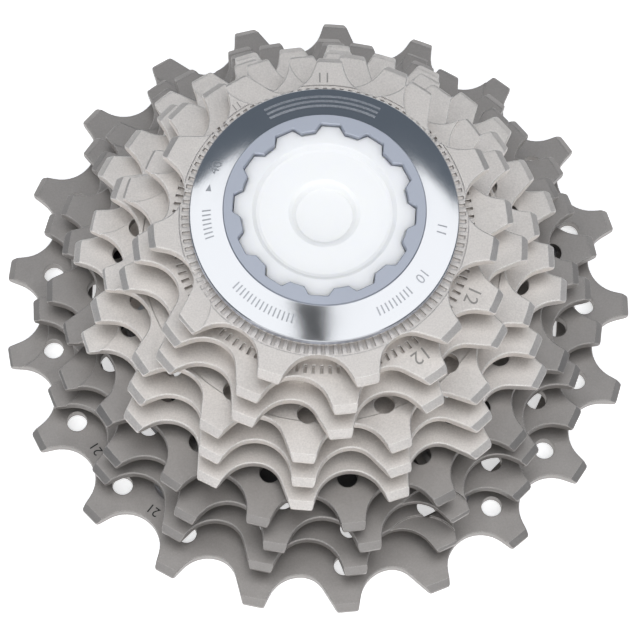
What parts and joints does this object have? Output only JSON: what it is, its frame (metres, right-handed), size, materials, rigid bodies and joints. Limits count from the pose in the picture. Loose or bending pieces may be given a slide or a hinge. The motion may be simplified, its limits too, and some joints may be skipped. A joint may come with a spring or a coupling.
{
  "type": "cassette sprocket",
  "caption": "Close-ratio road bicycle cassette: stepped toothed sprockets on carriers and spacers, closed by a threaded lock ring around a white packing core.",
  "frame": {"origin": "on the cassette's axis, in the plane of its rear face, where the largest sprocket's back lies", "axes": "+Z along the axis from the largest sprocket to the lock ring; +X and +Y across it"},
  "size_m": [0.0873, 0.0871, 0.0409],
  "materials": {
    "titanium": "satin, fine blasted grain",
    "plated_steel": "satin nickel plate over a blasted surface",
    "anodised_carrier": "dark anodised, matte",
    "rivet_steel": "satin",
    "spacer_resin": "matte moulded resin",
    "washer_steel": "satin",
    "lock_ring_alloy": "polished band, frosted inner ring",
    "core_plastic": "translucent white moulded plastic"
  },
  "bodies": {
    "large_unit": {"large_carrier": "anodised_carrier", "sprocket_21t": "titanium", "sprocket_19t": "titanium", "sprocket_18t": "titanium", "rivets_21t": "rivet_steel", "rivets_19t_18t": "rivet_steel"},
    "spacer_a": {"spacer_18t_17t": "spacer_resin"},
    "small_unit": {"small_carrier": "anodised_carrier", "sprocket_17t": "titanium", "sprocket_16t": "plated_steel", "rivets_17t_16t": "rivet_steel"},
    "spacer_b": {"spacer_16t_15t": "spacer_resin"},
    "cog_15t": {"sprocket_15t": "plated_steel"},
    "spacer_c": {"spacer_15t_14t": "spacer_resin"},
    "cog_14t": {"sprocket_14t": "plated_steel"},
    "spacer_d": {"spacer_14t_13t": "spacer_resin"},
    "cog_13t": {"sprocket_13t": "plated_steel"},
    "cog_12t": {"sprocket_12t": "plated_steel"},
    "cog_11t": {"sprocket_11t": "plated_steel"},
    "ring_lift": {"lock_ring_washer": "washer_steel"},
    "lock_ring": {"lock_ring": "lock_ring_alloy"},
    "packing_core": {"packing_core": "core_plastic"}
  },
  "joints": [
    {"name": "spacer_a_slide", "type": "slide", "parent": "large_unit", "child": "spacer_a", "axis": [0, 0, 1], "range_m": [0, 0.012]},
    {"name": "small_unit_slide", "type": "slide", "parent": "spacer_a", "child": "small_unit", "axis": [0, 0, 1], "range_m": [0, 0.012]},
    {"name": "spacer_b_slide", "type": "slide", "parent": "small_unit", "child": "spacer_b", "axis": [0, 0, 1], "range_m": [0, 0.012]},
    {"name": "cog_15t_slide", "type": "slide", "parent": "spacer_b", "child": "cog_15t", "axis": [0, 0, 1], "range_m": [0, 0.012]},
    {"name": "spacer_c_slide", "type": "slide", "parent": "cog_15t", "child": "spacer_c", "axis": [0, 0, 1], "range_m": [0, 0.012]},
    {"name": "cog_14t_slide", "type": "slide", "parent": "spacer_c", "child": "cog_14t", "axis": [0, 0, 1], "range_m": [0, 0.012]},
    {"name": "spacer_d_slide", "type": "slide", "parent": "cog_14t", "child": "spacer_d", "axis": [0, 0, 1], "range_m": [0, 0.012]},
    {"name": "cog_13t_slide", "type": "slide", "parent": "spacer_d", "child": "cog_13t", "axis": [0, 0, 1], "range_m": [0, 0.012]},
    {"name": "cog_12t_slide", "type": "slide", "parent": "cog_13t", "child": "cog_12t", "axis": [0, 0, 1], "range_m": [0, 0.012]},
    {"name": "cog_11t_slide", "type": "slide", "parent": "cog_12t", "child": "cog_11t", "axis": [0, 0, 1], "range_m": [0, 0.012]},
    {"name": "ring_lift_slide", "type": "slide", "parent": "cog_11t", "child": "ring_lift", "axis": [0, 0, 1], "range_m": [0, 0.00698]},
    {"name": "lock_ring_turn", "type": "hinge", "parent": "ring_lift", "child": "lock_ring", "pos_m": [0, 0, 0.039], "axis": [0, 0, 1], "range_deg": [0, 2340]},
    {"name": "packing_core_pull", "type": "slide", "parent": "lock_ring", "child": "packing_core", "axis": [0, 0, -1], "range_m": [0, 0.045]}
  ],
  "couplings": [
    {"joint": "ring_lift_slide", "follows": "lock_ring_turn", "m_per_rad": 0.00016844}
  ]
}
